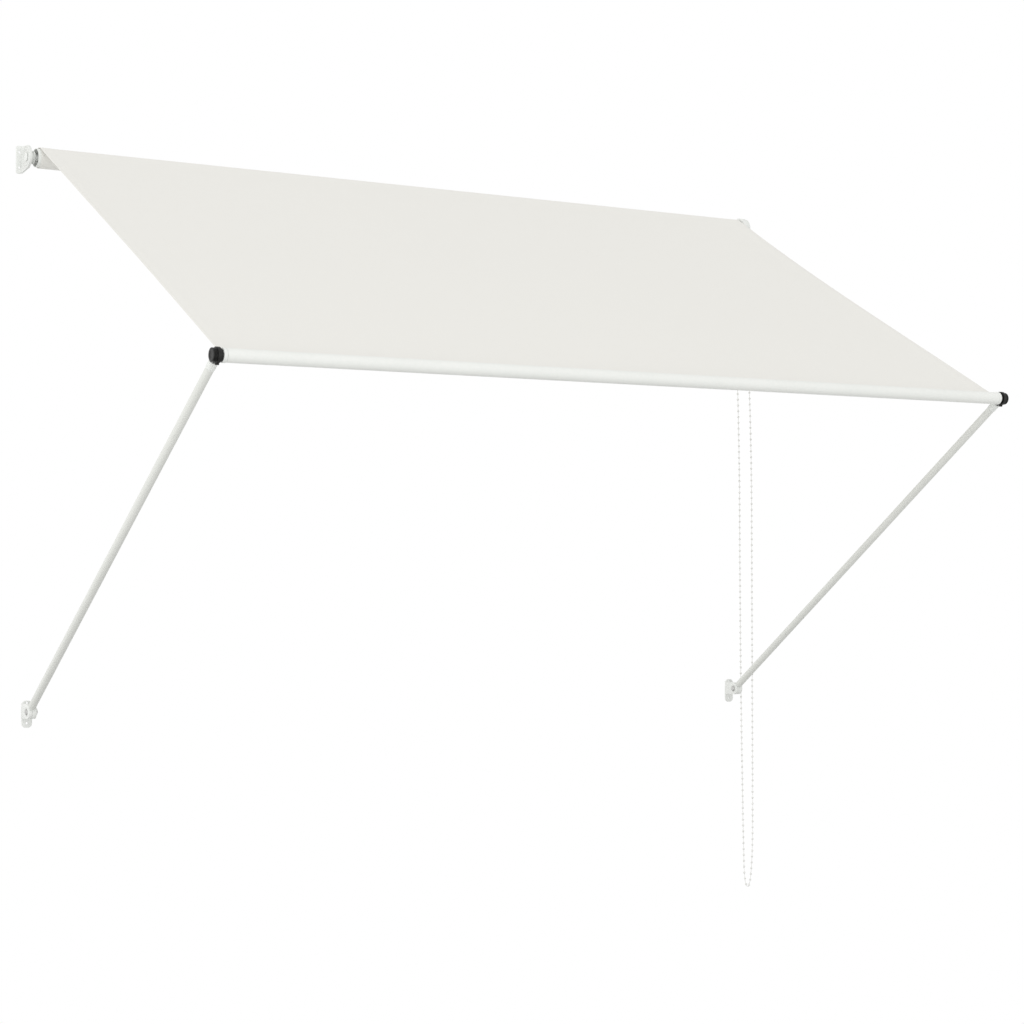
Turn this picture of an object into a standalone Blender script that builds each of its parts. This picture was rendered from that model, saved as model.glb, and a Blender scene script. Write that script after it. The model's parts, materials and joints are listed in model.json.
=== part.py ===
# A drop-arm canvas awning for a window: a roller turned by a bead chain, the canvas that it lets out,
# a front bar, and two arms that carry the bar from brackets lower on the wall.
# Metres. +X runs along the wall to the right, -Y points out from the wall and +Z points up.
# The origin is on the wall, in the left arm's plane, at the height of the arms' lower pivots.
import math

import bmesh
import bpy
from mathutils import Matrix, Vector

# The whole awning
span = 1.500                         # between the planes of the two arms
arm_length = 0.9447                  # lower pivot to front bar axis
arm_angle = math.radians(54.1)       # from vertical, with the canvas let out
pivot_out = 0.030                    # arm pivots and roller axis, from the wall
gap = 0.0003                         # between pieces that touch
running = 0.0003                     # round a shaft that turns in its hole

# Roller
tube_radius = 0.0160
tube_wall = 0.0012
tube_end = 0.0005                    # from each arm plane, inwards
plug_recess = 0.008
plug_length = 0.022
shaft_radius = 0.005

# Canvas
canvas_left = 0.0060                 # from each arm plane in to the canvas, at the roller
canvas_right = 0.0020
canvas_left_bar = 0.0080             # and at the front bar
canvas_right_bar = 0.0060
bow_left = 0.0022                    # each edge is drawn in by this much between them
bow_right = 0.0125
bow_shift = 1.5                      # above 1, the right edge's bow lies nearer to the roller
canvas_sag = 0.0005
cloth = 0.0005
hem_cloth = 0.0010
hem_width = 0.020
turns_left = 1                       # turns of canvas that stay on the roller
overlap_angle = math.radians(70)     # stretch of canvas that still lies on the roll

# Roller brackets
flange_width = 0.012
flange_thickness = 0.003
seat = 0.001                         # cheeks and lugs start this deep in their wall plates
flange_step = 0.0004                 # flange edge, back from a cheek's inner face
flange_above = 0.0225                # flange ends above and below the roller axis
flange_below = 0.0250
screw_radius = 0.0023
screw_spacing = 0.0264
screw_drop = 0.0014                  # middle of the two screw holes below the roller axis
cheek_thickness = 0.0038
idle_cheek_out = 0.0155              # outer face of each cheek, outboard of its arm plane
drive_cheek_out = 0.0170
cheek_radius = 0.0197
rim_height = 0.0009
rim_width = 0.0016
rim_lip = 0.0003

# Idle pin and drive
pin_head_radius = 0.0075
pin_head = 0.0014
pin_disc_radius = 0.0115
pin_disc = 0.0015
pin_disc_out = 0.0048                # outer face of the pin's disc, outboard of the arm plane
drive_flange = 0.002
wheel_middle = 0.0068                # chain wheel's middle plane, outboard of the arm plane
wheel_width = 0.0082
wheel_radius = 0.0190
wheel_cap_radius = 0.0062
wheel_cap = 0.0022
wheel_pockets = 9
rib_height = 0.0022
rib_width = 0.0022
guard_wall = 0.0010
guard_clear = 0.0004                 # beads to the guard round them

# Bead chain
bead_pitch = 0.012
bead_radius = 0.00225
chain_gap = 0.0006                   # between the two ends of the chain's tube, over the wheel
chain_bottom = -0.4045

# Arm brackets and feet
plate_width = 0.018
plate_above = 0.0172
plate_below = 0.0292
plate_thickness = 0.0035
plate_shift = 0.0055                 # plate's middle, to the right of the arm plane
plate_screws = 0.0346
plate_screw_drop = 0.0041
lug_thickness = 0.006
lug_radius = 0.0120
lug_base = 0.0132
lug_right = 0.0015                   # right face of the lug, from the arm plane
foot_thickness = 0.0076
foot_radius = 0.0120
neck_thickness = 0.0046
neck_width = 0.009
bolt_radius = 0.003
bolt_head_radius = 0.0055
bolt_head = 0.0025
nut_flats = 0.0100
nut_height = 0.0032

# Arms
arm_radius = 0.0066
arm_wall = 0.0009
arm_start = 0.017                    # lower pivot to the tube
collar_height = 0.0022
foot_plug = 0.022
sleeve_top = 0.0130                  # sleeve and tube ends, below the front bar axis
tube_top = 0.029
sleeve_radius = 0.0073
sleeve_groove = 0.0007
sleeve_ribs = 3
sleeve_plug = 0.020
tang_radius = 0.0037
tang_length = 0.026
eye_neck = 0.0012                    # the tang starts this far inside the eye's rim

# Front bar and its pivots
bar_radius = 0.0105
bar_wall = 0.0011
bar_end = 0.0125                     # tube end, inboard of the arm plane
cap_radius = 0.0110
cap_plug = 0.016
rod_radius = 0.0010
pocket_radius = 0.0019
pocket_wall = 0.0009
slot_width = 0.0016
slot_end = 0.0012                    # canvas and rod stop this far from the ends of the slot
eye_radius = 0.0119
eye_thickness = 0.0056
nose_radius = 0.0017
nose_reach = 0.0127
pivot_radius = 0.0030
collar_radius = 0.0095
collar_thickness = 0.0034
knob_radius = 0.0103
knob_thickness = 0.0064
knob_grooves = 3
knob_groove = 0.0006
knob_skin = 0.0016
knob_round = 0.0012

# Places that follow from the sizes
left, right = -1, 1
canvas_width = span - canvas_left - canvas_right
cheek_out = {left: idle_cheek_out, right: drive_cheek_out}
arm_dir = Vector((0, -math.sin(arm_angle), math.cos(arm_angle)))
pivot = Vector((0, -pivot_out, 0))
bar = pivot + arm_dir * arm_length
roller = pivot + Vector((0, 0, arm_length))
roll_thickness = (turns_left + 0.5) * cloth
roll_inner = tube_radius + gap
roll_outer = roll_inner + roll_thickness
lay_radius = roll_outer + gap + hem_cloth / 2
reach = (roller - bar).length
canvas_run = math.sqrt(reach ** 2 - lay_radius ** 2)
canvas_angle = math.atan2(roller.z - bar.z, roller.y - bar.y) + math.asin(lay_radius / reach)
canvas_dir = Vector((0, math.cos(canvas_angle), math.sin(canvas_angle)))
canvas_up = Vector((0, -math.sin(canvas_angle), math.cos(canvas_angle)))
chain_radius = bead_pitch / (2 * math.sin(math.pi / wheel_pockets))
groove_floor = chain_radius - bead_radius - gap
pocket_middle = bar_radius - bar_wall - pocket_radius


def clear_scene():
    for thing in list(bpy.data.objects):
        bpy.data.objects.remove(thing, do_unlink=True)


clear_scene()
parts = bpy.data.collections.new("canvas_awning")
cutters = bpy.data.collections.new("cutters")
for group in (parts, cutters):
    bpy.context.scene.collection.children.link(group)


def finish(name, colour, roughness, metallic=0.0):
    material = bpy.data.materials.new(name)
    material.use_nodes = True
    shader = material.node_tree.nodes["Principled BSDF"]
    shader.inputs["Base Color"].default_value = (*colour, 1)
    shader.inputs["Roughness"].default_value = roughness
    shader.inputs["Metallic"].default_value = metallic
    return material


def own_finish(thing, kind):
    # Each piece has a material of its own, named for it.
    colour, roughness, metallic = finishes[kind]
    thing.data.materials.clear()
    thing.data.materials.append(finish(thing.name, colour, roughness, metallic))
    return thing


finishes = {
    "white_paint": ((0.80, 0.81, 0.80), 0.35, 0.0),
    "white_plastic": ((0.82, 0.83, 0.81), 0.45, 0.0),
    "black_plastic": ((0.02, 0.02, 0.02), 0.5, 0.0),
    "grey_plastic": ((0.16, 0.16, 0.16), 0.6, 0.0),
    "steel": ((0.55, 0.55, 0.54), 0.35, 1.0),
    "canvas": ((0.84, 0.82, 0.78), 0.9, 0.0),
}


def outboard(side, distance):
    # World x of a point this far outboard of the left or right arm plane.
    return (span if side == right else 0) + side * distance


def smooth(mesh):
    mesh.shade_smooth()
    mesh.set_sharp_from_angle(angle=math.radians(35))


def keep(thing, kind):
    parts.objects.link(thing)
    return own_finish(thing, kind)


def as_tool(thing):
    cutters.objects.link(thing)
    thing.hide_render = True
    thing.display_type = "WIRE"
    return thing


def join(thing, other, operation="UNION"):
    modifier = thing.modifiers.new(other.name, "BOOLEAN")
    modifier.operation = operation
    modifier.solver = "EXACT"
    modifier.object = as_tool(other)
    other.parent = thing
    other.matrix_parent_inverse = thing.matrix_basis.inverted()


def arc(middle, radius, start, end, count):
    # Points on an arc, angles in degrees, both ends included.
    steps = [math.radians(start + (end - start) * k / count) for k in range(count + 1)]
    return [(middle[0] + radius * math.cos(a), middle[1] + radius * math.sin(a)) for a in steps]


def circle(middle, radius, count):
    return arc(middle, radius, 0, 360, count)[:-1]


def rounded_bar(low, high, radius, count=5):
    # A rectangle with round corners, from its lower left to its upper right corner.
    corners = ((high[0], high[1], 0), (low[0], high[1], 90), (low[0], low[1], 180), (high[0], low[1], 270))
    points = []
    for x, y, start in corners:
        middle = (x + radius * (1 if x == low[0] else -1), y + radius * (1 if y == low[1] else -1))
        points += arc(middle, radius, start, start + 90, count)
    return points


facing_wall = Matrix(((1, 0, 0), (0, 0, -1), (0, 1, 0))).to_4x4()
facing_x = Matrix(((0, 0, 1), (1, 0, 0), (0, 1, 0))).to_4x4()


def flat(name, outline, holes, thickness, frame, place):
    # A flat outline with holes, as a solid plate whose middle plane is in place.
    drawing = bpy.data.curves.new(name, "CURVE")
    drawing.dimensions = "2D"
    drawing.fill_mode = "BOTH"
    drawing.extrude = thickness / 2
    for points in [outline, *holes]:
        spline = drawing.splines.new("POLY")
        spline.points.add(len(points) - 1)
        for knot, (u, v) in zip(spline.points, points):
            knot.co = (u, v, 0, 1)
        spline.use_cyclic_u = True
    sketch = bpy.data.objects.new(name + "_sketch", drawing)
    cutters.objects.link(sketch)
    sketch.matrix_world = Matrix.Translation(place) @ frame
    bpy.context.view_layer.update()
    solid = bpy.data.meshes.new_from_object(sketch.evaluated_get(bpy.context.evaluated_depsgraph_get()))
    weld(solid)
    thing = bpy.data.objects.new(name, solid)
    thing.matrix_world = sketch.matrix_world
    bpy.data.objects.remove(sketch)
    return thing


def weld(mesh):
    cage = bmesh.new()
    cage.from_mesh(mesh)
    bmesh.ops.remove_doubles(cage, verts=cage.verts, dist=0.00001)
    cage.to_mesh(mesh)
    cage.free()


def turned(name, outline, place, direction, sides=24):
    # A turned solid. The outline is (distance along the axis, radius), closed, or ending on the axis.
    on_axis = outline[0][1] == 0 and outline[-1][1] == 0
    area = sum(a[1] * b[0] - b[1] * a[0] for a, b in zip(outline, outline[1:] + outline[:1]))
    points = outline if area < 0 else outline[::-1]
    count = len(points)
    edges = [(k, (k + 1) % count) for k in range(count - 1 if on_axis else count)]
    profile = bpy.data.meshes.new(name)
    profile.from_pydata([(radius, 0, along) for along, radius in points], edges, [])
    thing = bpy.data.objects.new(name, profile)
    screw = thing.modifiers.new("Turn", "SCREW")
    screw.axis = "Z"
    screw.steps = screw.render_steps = sides
    screw.use_merge_vertices = True
    screw.merge_threshold = 0.00001
    thing.rotation_mode = "QUATERNION"
    thing.rotation_quaternion = Vector((0, 0, 1)).rotation_difference(Vector(direction))
    thing.location = place
    return thing


def ring(start, end, outer, inner):
    return [(start, inner), (start, outer), (end, outer), (end, inner)]


def rod(start, end, radius):
    return [(start, 0), (start, radius), (end, radius), (end, 0)]


def hang(names, joint, point):
    # Hangs pieces on an empty that stands on their joint's axis.
    axle = bpy.data.objects.new(joint, None)
    axle.location = point
    parts.objects.link(axle)
    for name in names:
        piece = bpy.data.objects[name]
        piece.parent = axle
        piece.matrix_parent_inverse = axle.matrix_basis.inverted()


# Roller brackets: a wall flange with two screw holes, and a round cheek that carries the roller's end.
def tongue(base_above, base_below, radius, out, count=16):
    # Side view of a cheek or lug: from its base on the wall, y = 0, to a round end about the axis.
    above = tangent(out, base_above, radius)
    below = tangent(out, base_below, radius)
    end = arc((-out, 0), radius, above, 360 - below, count)
    return [(-seat, base_above), *end, (-seat, -base_below)]


def tangent(out, base, radius):
    # Angle on the round end, in degrees, at which a straight edge from the base touches it.
    return math.degrees(math.atan2(base, out) + math.acos(radius / math.hypot(out, base)))


def roller_bracket(name, side):
    outer, inner = outboard(side, cheek_out[side]), outboard(side, cheek_out[side] - cheek_thickness)
    near, far = inner + side * flange_step, inner + side * flange_width
    low = (min(near, far), -flange_below)
    high = (max(near, far), flange_above)
    hole_x = (low[0] + high[0]) / 2
    holes = [circle((hole_x, k * screw_spacing / 2 - screw_drop), screw_radius, 12) for k in (-1, 1)]
    place = (0, -flange_thickness / 2, roller.z)
    bracket = flat(name, rounded_bar(low, high, 0.003, 4), holes, flange_thickness, facing_wall, place)
    cheek = flat(name + "_cheek", tongue(flange_above - 0.001, flange_below - 0.001, cheek_radius, pivot_out),
                 [circle((-pivot_out, 0), shaft_radius + running, 16)], cheek_thickness, facing_x,
                 ((outer + inner) / 2, 0, roller.z))
    join(bracket, cheek)
    for step, radius in enumerate((cheek_radius + rim_lip, cheek_radius * 0.72)):
        rim = turned(f"{name}_rim_{step}", ring(-rim_height, rim_height, radius, radius - rim_width),
                     (outer, roller.y, roller.z), (side, 0, 0), 24)
        join(bracket, rim)
    return keep(bracket, "white_plastic")


# Roller: tube, the plug that turns on the idle pin, the driven plug and the chain wheel.
def roller_pieces():
    inner = tube_radius - tube_wall
    low, high = outboard(left, -tube_end), outboard(right, -tube_end)
    tube = turned("roller_tube", ring(low, high, tube_radius, inner), (0, roller.y, roller.z), (1, 0, 0), 32)
    keep(tube, "white_paint")

    bore = shaft_radius + running
    body = inner - gap
    waist = body - 0.003
    idle = [(plug_recess, bore), (plug_recess, body), (plug_recess + 0.003, body), (plug_recess + 0.003, waist),
            (plug_length - 0.003, waist), (plug_length - 0.003, body), (plug_length, body), (plug_length, bore)]
    keep(turned("idle_plug", idle, (low, roller.y, roller.z), (1, 0, 0), 24), "grey_plastic")

    shaft_end = tube_end + drive_cheek_out + gap
    drive = [(-plug_length, 0), (-plug_length, body), (-gap, body), (gap, body), (gap, tube_radius),
             (gap + drive_flange, tube_radius), (gap + drive_flange, shaft_radius), (shaft_end, shaft_radius),
             (shaft_end, 0)]
    keep(turned("drive_plug", drive, (high, roller.y, roller.z), (1, 0, 0), 24), "white_plastic")


def idle_pin():
    outer = idle_cheek_out + gap
    inner = idle_cheek_out - cheek_thickness - gap
    reach_in = -(tube_end + plug_length - 0.002)
    shape = [(outer + pin_head, 0), (outer + pin_head, pin_head_radius), (outer, pin_head_radius),
             (outer, shaft_radius), (inner, shaft_radius), (inner, shaft_radius + 0.0025),
             (pin_disc_out, shaft_radius + 0.0025), (pin_disc_out, pin_disc_radius),
             (pin_disc_out - pin_disc, pin_disc_radius), (pin_disc_out - pin_disc, shaft_radius),
             (reach_in, shaft_radius), (reach_in, 0)]
    pin = turned("idle_pin", shape, (outboard(left, 0), roller.y, roller.z), (left, 0, 0), 24)
    keep(pin, "white_plastic")


def chain_wheel():
    # Two flanges with a groove between them, and a rib across its floor between each two beads' places.
    half = wheel_width / 2
    side_gap = bead_radius + 0.0006
    floor = groove_floor - rib_height
    bore = shaft_radius + gap
    shape = [(-half, bore), (-half, wheel_radius), (-side_gap, wheel_radius - 0.0006), (-side_gap + 0.0008, floor),
             (side_gap - 0.0008, floor), (side_gap, wheel_radius - 0.0006), (half, wheel_radius), (half, bore)]
    middle = Vector((outboard(right, wheel_middle), roller.y, roller.z))
    wheel = turned("chain_wheel", shape, middle, (1, 0, 0), 27)
    for k in range(wheel_pockets):
        turn = math.tau * (k + 0.5) / wheel_pockets
        outline = [(floor - 0.001, -rib_width / 2), (groove_floor, -rib_width / 2),
                   (groove_floor, rib_width / 2), (floor - 0.001, rib_width / 2)]
        rib = flat(f"wheel_rib_{k}", outline, [], 2 * side_gap, facing_x @ Matrix.Rotation(turn, 4, "Z"), middle)
        join(wheel, rib)
    keep(wheel, "white_plastic")

    # The cap on the end of the drive shaft, outside the cheek.
    face = drive_cheek_out + rim_height + 2 * gap
    cap = [(drive_cheek_out + 2 * gap, 0), (drive_cheek_out + 2 * gap, shaft_radius), (face, shaft_radius),
           (face, wheel_cap_radius), (face + wheel_cap * 0.6, wheel_cap_radius),
           (face + wheel_cap, wheel_cap_radius * 0.7), (face + wheel_cap, 0)]
    keep(turned("wheel_cap", cap, (span, roller.y, roller.z), (1, 0, 0), 16), "grey_plastic")


def chain_guard():
    # A back plate against the cheek, a half-round roof over the beads, open below for the two strands,
    # and a lip on the roller's side of the wheel.
    inner = chain_radius + bead_radius + guard_clear
    outer = inner + guard_wall
    end = drive_cheek_out - cheek_thickness - gap
    start = wheel_middle - wheel_width / 2 - gap - guard_wall
    back = flat("chain_guard", circle((0, 0), outer, 32), [circle((0, 0), shaft_radius + running, 16)],
                guard_wall, facing_x, (outboard(right, end - guard_wall / 2), roller.y, roller.z))
    roof_outline = arc((0, 0), outer, 0, 180, 16) + arc((0, 0), inner, 180, 0, 16)
    roof = flat("guard_roof", roof_outline, [], end - start, facing_x,
                (outboard(right, (start + end) / 2), roller.y, roller.z))
    join(back, roof)
    lip_outline = arc((0, 0), inner + guard_wall / 2, -6, 186, 17)
    lip_outline += arc((0, 0), tube_radius + guard_wall, 186, -6, 17)
    lip = flat("guard_lip", lip_outline, [], guard_wall, facing_x,
               (outboard(right, start + guard_wall / 2), roller.y, roller.z))
    join(back, lip)
    keep(back, "white_plastic")


# Bead chain: an endless string of beads over the wheel, modelled from the top of the wheel and back to it.
def chain_route():
    # Stations down the loop: height, middle from the wheel's plane and axis, and half of its width.
    x, y, z = outboard(right, wheel_middle), roller.y, roller.z
    over_wheel = [(0, chain_radius * math.sin(a), z + chain_radius * math.cos(a))
                  for a in (math.radians(15 * k) for k in range(7))]
    hanging = [(0.0008, -0.0008, 0.0180, 0.860), (0.0046, -0.0027, 0.0190, 0.700),
               (0.0088, -0.0052, 0.0199, 0.560), (0.0115, -0.0070, 0.0201, 0.420),
               (0.0124, -0.0086, 0.0201, 0.260), (0.0134, -0.0101, 0.0195, 0.100),
               (0.0147, -0.0117, 0.0184, -0.060), (0.0162, -0.0132, 0.0169, -0.200),
               (0.0171, -0.0142, 0.0153, -0.300), (0.0172, -0.0143, 0.0130, -0.358),
               (0.0170, -0.0141, 0.0086, -0.392)]
    front = [Vector((x, y - out, height)) for _, out, height in over_wheel]
    front += [Vector((x + aside, y + lean - half, height)) for aside, lean, half, height in hanging]
    back = [Vector((x + aside, y + lean + half, height)) for aside, lean, half, height in reversed(hanging)]
    back += [Vector((x, y + out, height)) for _, out, height in reversed(over_wheel)]
    aside, lean = hanging[-1][:2]
    return front + [Vector((x + aside, y + lean, chain_bottom))] + back


def smooth_path(points, per_span=12):
    # A Catmull-Rom curve through the points.
    ends = [2 * points[0] - points[1], *points, 2 * points[-1] - points[-2]]
    path = []
    for a, b, c, d in zip(ends, ends[1:], ends[2:], ends[3:]):
        for k in range(per_span):
            t = k / per_span
            path.append(0.5 * (2 * b + (c - a) * t + (2 * a - 5 * b + 4 * c - d) * t ** 2
                               + (3 * b - a - 3 * c + d) * t ** 3))
    return path + [points[-1]]


def along(path, distances):
    # Points at the given distances along a path, which run upwards.
    places, walked, k = [], 0.0, 0
    for distance in distances:
        while k < len(path) - 2 and walked + (path[k + 1] - path[k]).length < distance:
            walked += (path[k + 1] - path[k]).length
            k += 1
        step = path[k + 1] - path[k]
        places.append(path[k] + step * ((distance - walked) / step.length))
    return places


def bead_chain():
    # The string of beads as a plain tube of their diameter, with close points where it bends.
    path = smooth_path(chain_route())
    length = sum((b - a).length for a, b in zip(path, path[1:]))
    bend = chain_radius * math.pi / 2
    foot = 0.5 * length
    stops = [bend * k / 8 for k in range(8)] + [bend + (foot - 0.05 - bend) * k / 22 for k in range(22)]
    stops += [foot - 0.05 + 0.05 * k / 8 for k in range(8)]
    half_open = chain_gap / 2
    stops = [max(stop, half_open) for stop in stops]
    stops += [foot] + [length - stop for stop in reversed(stops)]
    drawing = bpy.data.curves.new("pull_chain", "CURVE")
    drawing.dimensions = "3D"
    drawing.bevel_depth = bead_radius
    drawing.bevel_resolution = 2
    drawing.render_resolution_u = 0
    drawing.use_fill_caps = True
    spline = drawing.splines.new("POLY")
    spline.points.add(len(stops) - 1)
    for knot, place in zip(spline.points, along(path, stops)):
        knot.co = (*place, 1)
    keep(bpy.data.objects.new("pull_chain", drawing), "white_plastic")


# Arm brackets: a wall plate with a lug at its left, and the bolt that the arm's foot turns on.
def arm_bracket(name, side):
    x = outboard(side, 0)
    middle = x + plate_shift
    low, high = (middle - plate_width / 2, -plate_below), (middle + plate_width / 2, plate_above)
    holes = [circle((middle, k * plate_screws / 2 - plate_screw_drop), screw_radius, 12) for k in (-1, 1)]
    bracket = flat(name, rounded_bar(low, high, plate_width / 2 - 0.0015, 7), holes, plate_thickness,
                   facing_wall, (0, -plate_thickness / 2, 0))
    lug = flat(name + "_lug", tongue(lug_base, lug_base, lug_radius, pivot_out, 14),
               [circle((-pivot_out, 0), bolt_radius + running, 12)], lug_thickness, facing_x,
               (x + lug_right - lug_thickness / 2, 0, 0))
    join(bracket, lug)
    boss = turned(name + "_boss", ring(0, 0.0009, bolt_head_radius + 0.0020, bolt_head_radius + 0.0004),
                  (x + lug_right - lug_thickness + 0.0001, pivot.y, pivot.z), (-1, 0, 0), 16)
    join(bracket, boss)
    return keep(bracket, "white_plastic")


def foot_faces():
    # Left and right face of an arm's foot, from the arm plane.
    start = lug_right + gap
    return start, start + foot_thickness


def pivot_bolt(suffix, side):
    x = outboard(side, 0)
    head = lug_right - lug_thickness - gap
    nut = foot_faces()[1] + gap
    end = nut + nut_height + 0.001
    shape = [(head - bolt_head, 0), (head - bolt_head, bolt_head_radius * 0.75),
             (head - bolt_head * 0.5, bolt_head_radius), (head, bolt_head_radius), (head, bolt_radius),
             (end, bolt_radius), (end, 0)]
    keep(turned("pivot_bolt_" + suffix, shape, (x, pivot.y, pivot.z), (1, 0, 0), 16), "steel")
    corner = nut_flats / 2 / math.cos(math.pi / 6)
    nut_shape = flat("pivot_nut_" + suffix, circle((0, 0), corner, 6), [circle((0, 0), bolt_radius + gap, 12)],
                     nut_height, facing_x, (x + nut + nut_height / 2, pivot.y, pivot.z))
    keep(nut_shape, "steel")


# Arms: foot with an eye beside the lug, tube, ribbed sleeve, and the black eye that carries the bar.
def arm(suffix, side):
    x = outboard(side, 0)
    start, end = foot_faces()
    base = Vector((x, pivot.y, pivot.z))
    top = base + arm_dir * arm_length
    lean = Matrix.Rotation(arm_angle, 4, "X")

    foot = turned("arm_foot_" + suffix, ring(start, end, foot_radius, bolt_radius + running), base, (1, 0, 0), 24)
    neck_top = arm_start - 0.0005
    neck_outline = [(-neck_width / 2, bolt_radius + 0.003), (neck_width / 2, bolt_radius + 0.003),
                    (neck_width / 2, neck_top), (-neck_width / 2, neck_top)]
    neck_middle = base + Vector((start + neck_thickness / 2, 0, 0))
    join(foot, flat(f"foot_neck_{suffix}", neck_outline, [], neck_thickness, lean @ facing_x, neck_middle))
    plug_radius = arm_radius - arm_wall - gap
    stem = [(arm_start - collar_height - gap, 0), (arm_start - collar_height - gap, arm_radius - 0.001),
            (arm_start - collar_height + 0.0007, arm_radius), (arm_start - gap, arm_radius),
            (arm_start - gap, plug_radius), (arm_start + foot_plug, plug_radius), (arm_start + foot_plug, 0)]
    join(foot, turned(f"foot_stem_{suffix}", stem, base, arm_dir, 20))
    keep(foot, "white_plastic")

    tube = turned("arm_tube_" + suffix, ring(arm_start, arm_length - tube_top, arm_radius, arm_radius - arm_wall),
                  base, arm_dir, 24)
    keep(tube, "white_paint")

    # The sleeve's outline starts at the bar axis and runs down the arm.
    bore = tang_radius + gap
    shape = [(sleeve_top, bore), (sleeve_top, sleeve_radius - 0.001)]
    pitch = (tube_top - gap - sleeve_top) / (sleeve_ribs + 0.5)
    for k in range(sleeve_ribs):
        first = sleeve_top + 0.001 + k * pitch
        shape += [(first, sleeve_radius), (first + pitch * 0.55, sleeve_radius),
                  (first + pitch * 0.65, sleeve_radius - sleeve_groove),
                  (first + pitch * 0.9, sleeve_radius - sleeve_groove)]
    shape += [(tube_top - gap, sleeve_radius), (tube_top - gap, plug_radius),
              (tube_top + sleeve_plug, plug_radius), (tube_top + sleeve_plug, bore)]
    keep(turned("arm_sleeve_" + suffix, shape, top, -arm_dir, 24), "white_plastic")

    eye = turned("arm_eye_" + suffix, ring(-eye_thickness / 2, eye_thickness / 2, eye_radius, pivot_radius + running),
                 top, (1, 0, 0), 28)
    join(eye, turned(f"eye_tang_{suffix}", rod(eye_radius - eye_neck, eye_radius + tang_length, tang_radius), top,
                     -arm_dir, 16))
    join(eye, turned(f"eye_nose_{suffix}", rod(-eye_thickness / 2 + 0.0002, eye_thickness / 2 - 0.0002, nose_radius),
                     top - Vector((0, 0, nose_reach)), (1, 0, 0), 12))
    keep(eye, "black_plastic")
    hang([name + suffix for name in ("arm_foot_", "arm_tube_", "arm_sleeve_", "arm_eye_")],
         f"arm_{suffix}_swing", base)


# Front bar: a tube with a keyhole slot for the canvas rod, white end caps, and a pivot at each end.
def bar_section():
    # Drawn with the slot towards +u, and turned to face the canvas afterwards.
    half = slot_width / 2
    mouth = math.degrees(math.asin(half / bar_radius))
    throat = math.degrees(math.asin(half / pocket_radius))
    outline = arc((0, 0), bar_radius, mouth, 360 - mouth, 28)
    outline += arc((pocket_middle, 0), pocket_radius, -throat, throat - 360, 10)
    inside = bar_radius - bar_wall
    wall = pocket_radius + pocket_wall
    meet = (inside ** 2 - wall ** 2 + pocket_middle ** 2) / (2 * pocket_middle)
    rise = math.sqrt(inside ** 2 - meet ** 2)
    start = math.degrees(math.atan2(rise, meet))
    bite = math.degrees(math.atan2(rise, meet - pocket_middle))
    hollow = arc((0, 0), inside, start, 360 - start, 24)
    hollow += arc((pocket_middle, 0), wall, 360 - bite, bite, 8)[1:-1]
    return outline, hollow


def front_bar():
    outline, hollow = bar_section()
    slope = facing_x @ Matrix.Rotation(canvas_angle, 4, "Z")
    ends = outboard(left, -bar_end - gap), outboard(right, -bar_end - gap)
    tube = flat("front_bar_tube", outline, [hollow], ends[1] - ends[0], slope, (sum(ends) / 2, bar.y, bar.z))
    keep(tube, "white_paint")

    rod_ends = [end - side * slot_end for end, side in zip(ends, (left, right))]
    middle = bar + canvas_dir * pocket_middle
    keep(turned("canvas_rod", rod(rod_ends[0], rod_ends[1], rod_radius), (0, middle.y, middle.z), (1, 0, 0), 12),
         "grey_plastic")


def bar_pivot(suffix, side):
    at = Vector((outboard(side, 0), bar.y, bar.z))
    half_eye = eye_thickness / 2
    collar_in = half_eye + gap + collar_thickness
    plug_end = bar_end + cap_plug
    pin_end = plug_end - 0.004
    bore = pivot_radius + gap
    inside = bar_radius - bar_wall - gap

    # Distances run outboard from the arm plane, so what lies on the bar's side is negative.
    cap = [(-collar_in - gap, bore), (-collar_in - gap, cap_radius - 0.001), (-collar_in - gap - 0.001, cap_radius),
           (-bar_end, cap_radius), (-bar_end, inside), (-plug_end, inside), (-plug_end, 0), (-pin_end - gap, 0),
           (-pin_end - gap, bore)]
    end_cap = turned("bar_cap_" + suffix, cap, at, (side, 0, 0), 28)
    notch = turned(f"cap_notch_{suffix}", rod(-plug_end - 0.001, -bar_end - gap, pocket_radius + pocket_wall + gap),
                   at + canvas_dir * pocket_middle, (side, 0, 0), 16)
    keep(end_cap, "white_plastic")
    join(end_cap, notch, "DIFFERENCE")

    collar = ring(-collar_in, -half_eye - gap, collar_radius, bore)
    keep(turned("pivot_collar_" + suffix, collar, at, (side, 0, 0), 24), "black_plastic")

    knob_in, knob_out = half_eye + gap, half_eye + gap + knob_thickness
    shape = [(knob_in, bore), (knob_in, knob_radius)]
    pitch = (knob_thickness - knob_round) / (knob_grooves + 0.5)
    for k in range(knob_grooves):
        first = knob_in + pitch * (k + 0.5)
        shape += [(first, knob_radius), (first + pitch * 0.2, knob_radius - knob_groove),
                  (first + pitch * 0.5, knob_radius - knob_groove), (first + pitch * 0.7, knob_radius)]
    shape += [(knob_out - knob_round, knob_radius), (knob_out - knob_round * 0.3, knob_radius - knob_round * 0.3),
              (knob_out, knob_radius - knob_round), (knob_out, 0), (knob_out - knob_skin, 0),
              (knob_out - knob_skin, bore)]
    keep(turned("pivot_knob_" + suffix, shape, at, (side, 0, 0), 24), "black_plastic")

    pin = rod(-pin_end, knob_out - knob_skin - gap, pivot_radius)
    keep(turned("pivot_pin_" + suffix, pin, at, (side, 0, 0), 16), "steel")


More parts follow.
